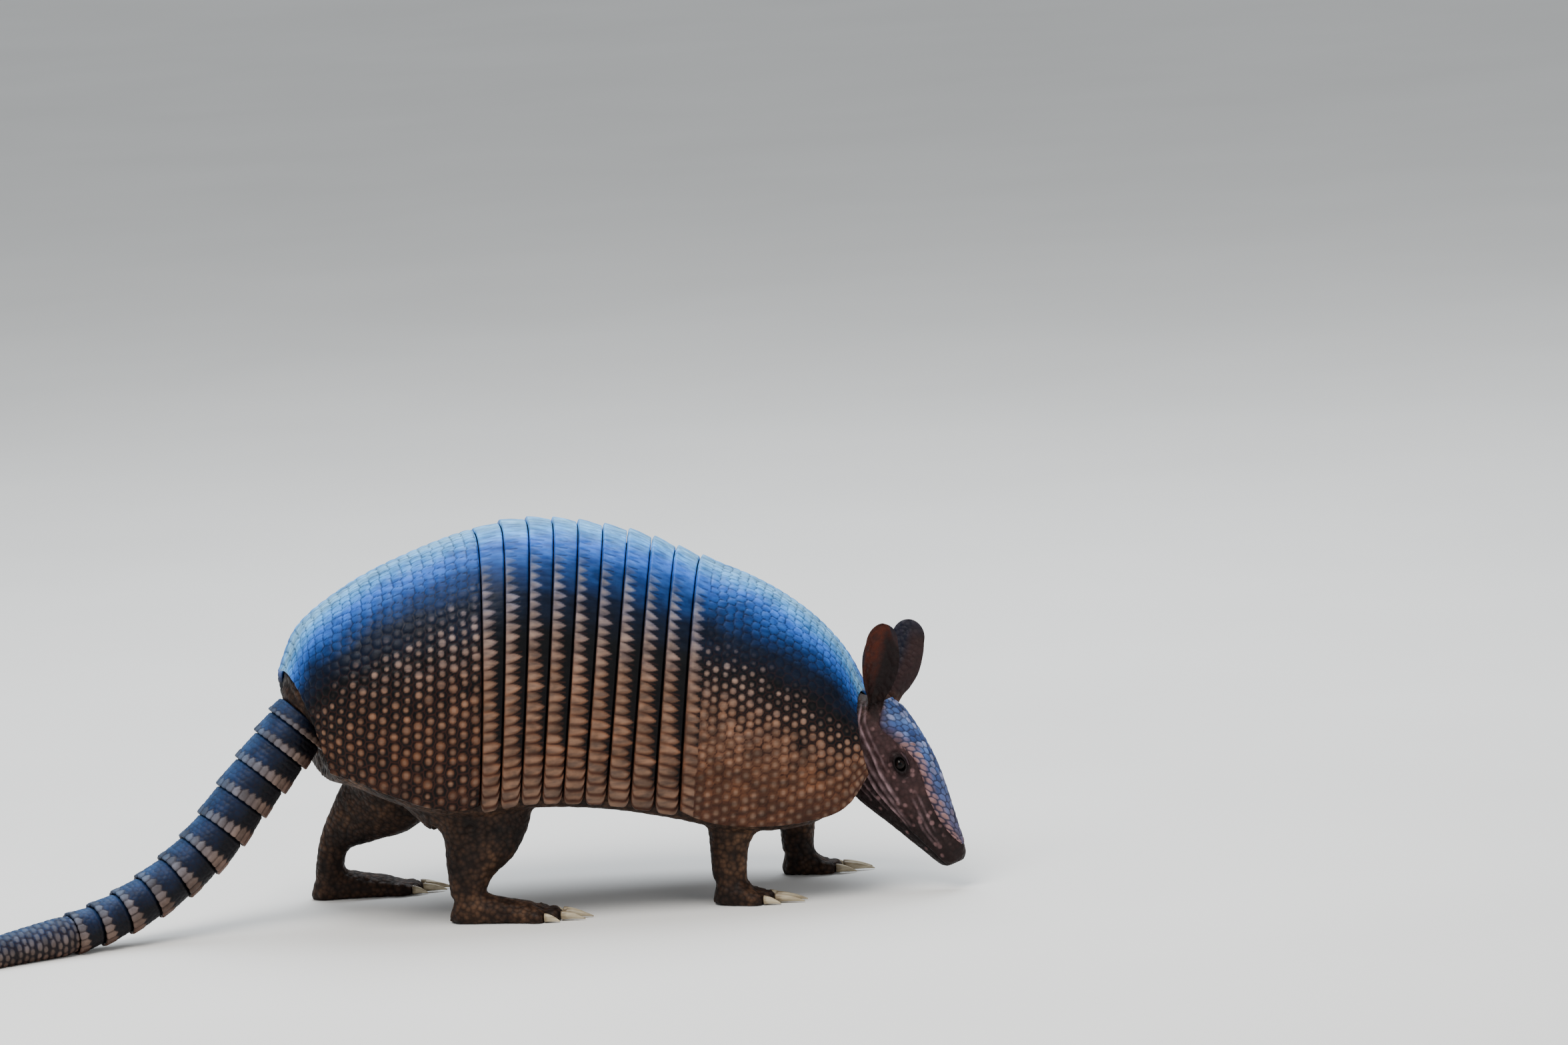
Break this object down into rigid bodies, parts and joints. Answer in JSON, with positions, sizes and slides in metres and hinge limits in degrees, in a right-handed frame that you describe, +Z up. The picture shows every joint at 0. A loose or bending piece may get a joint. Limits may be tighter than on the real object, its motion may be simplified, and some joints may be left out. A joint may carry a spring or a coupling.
{
  "type": "armadillo",
  "caption": "Life-size armadillo that stands with its head lowered to forage, its body under a banded shell and its tail in tapering bony rings.",
  "frame": {"origin": "on the floor under the middle of the animal's outline box", "axes": "+X toward the head, +Y to the animal's left, +Z up"},
  "size_m": [0.6256, 0.2347, 0.2244],
  "materials": {
    "shell": "dry horn over bone, slate grey on the back and pinkish tan on the flanks, with a dull sheen",
    "tail_scale": "dry horn rings, dark grey in front and cream at each rear edge",
    "skin": "dull, wrinkled dark brown skin with sparse pale bristles",
    "claw": "worn horn, yellow-brown with darker roots",
    "eye": "wet, nearly black"
  },
  "bodies": {
    "root": {"pelvic_shield": "shell", "band_9": "shell", "band_8": "shell", "band_7": "shell", "band_6": "shell", "band_5": "shell", "band_4": "shell", "band_3": "shell", "band_2": "shell", "band_1": "shell", "scapular_shield": "shell", "tail_ring_1": "tail_scale", "tail_ring_2": "tail_scale", "tail_ring_3": "tail_scale", "tail_ring_4": "tail_scale", "tail_ring_5": "tail_scale", "tail_ring_6": "tail_scale", "tail_ring_7": "tail_scale", "tail_ring_8": "tail_scale", "tail_ring_9": "tail_scale", "tail_ring_10": "tail_scale", "tail_ring_11": "tail_scale", "tail_end": "tail_scale", "trunk": "skin", "head": "skin", "eye_left": "eye", "eye_right": "eye", "head_shield": "shell", "neck": "skin", "ear_right": "skin", "ear_left": "skin", "hind_leg_right": "skin", "hind_foot_right": "skin", "hind_claw_right_1": "claw", "hind_claw_right_2": "claw", "hind_claw_right_3": "claw", "hind_claw_right_4": "claw", "hind_claw_right_5": "claw", "hind_leg_left": "skin", "hind_foot_left": "skin", "hind_claw_left_1": "claw", "hind_claw_left_2": "claw", "hind_claw_left_3": "claw", "hind_claw_left_4": "claw", "hind_claw_left_5": "claw", "front_leg_right": "skin", "front_foot_right": "skin", "front_claw_right_1": "claw", "front_claw_right_2": "claw", "front_claw_right_3": "claw", "front_claw_right_4": "claw", "front_leg_left": "skin", "front_foot_left": "skin", "front_claw_left_1": "claw", "front_claw_left_2": "claw", "front_claw_left_3": "claw", "front_claw_left_4": "claw"}
  },
  "joints": []
}
